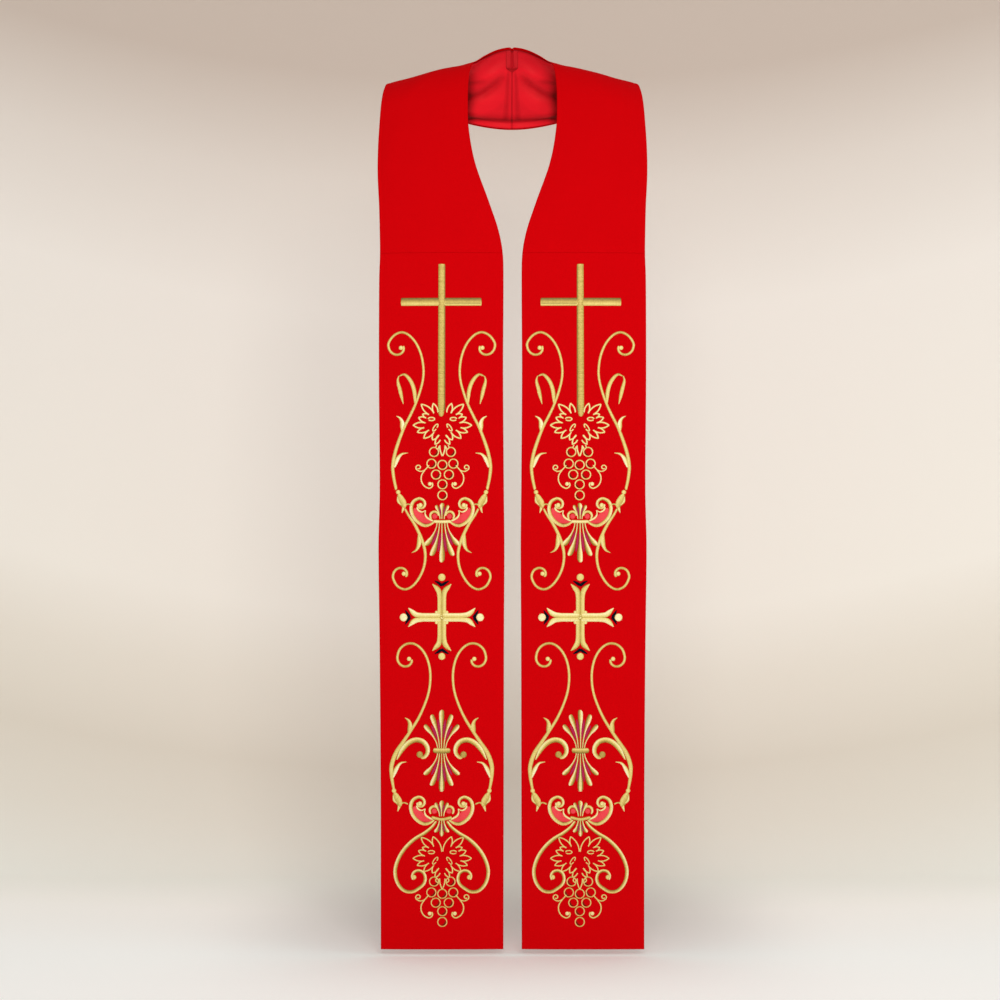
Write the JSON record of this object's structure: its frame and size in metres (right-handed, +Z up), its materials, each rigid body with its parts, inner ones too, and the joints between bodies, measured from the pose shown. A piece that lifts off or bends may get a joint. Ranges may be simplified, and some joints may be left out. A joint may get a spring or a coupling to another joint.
{
  "type": "clerical stole",
  "caption": "Worn, hollow clerical stole: a shaped neck band over the shoulders and two straight lined fronts with gold embroidery.",
  "frame": {"origin": "midway between the two points where the garment's shoulders meet the neck opening, where the wearer carries it", "axes": "+Z up, the fronts face -Y, the garment is mirrored in X and the wearer's left is +X"},
  "size_m": [0.3562, 0.2079, 1.208],
  "materials": {
    "outer_cloth": "matt fine red weave",
    "lining": "red satin",
    "loop": "red satin tape",
    "embroidery": "gold thread in satin stitch"
  },
  "bodies": {
    "root": {"neck_piece_left": "outer_cloth", "neck_piece_right": "outer_cloth", "front_panel_left": "outer_cloth", "front_panel_right": "outer_cloth", "lining_left": "lining", "lining_right": "lining", "hanger_loop": "loop"}
  },
  "joints": []
}
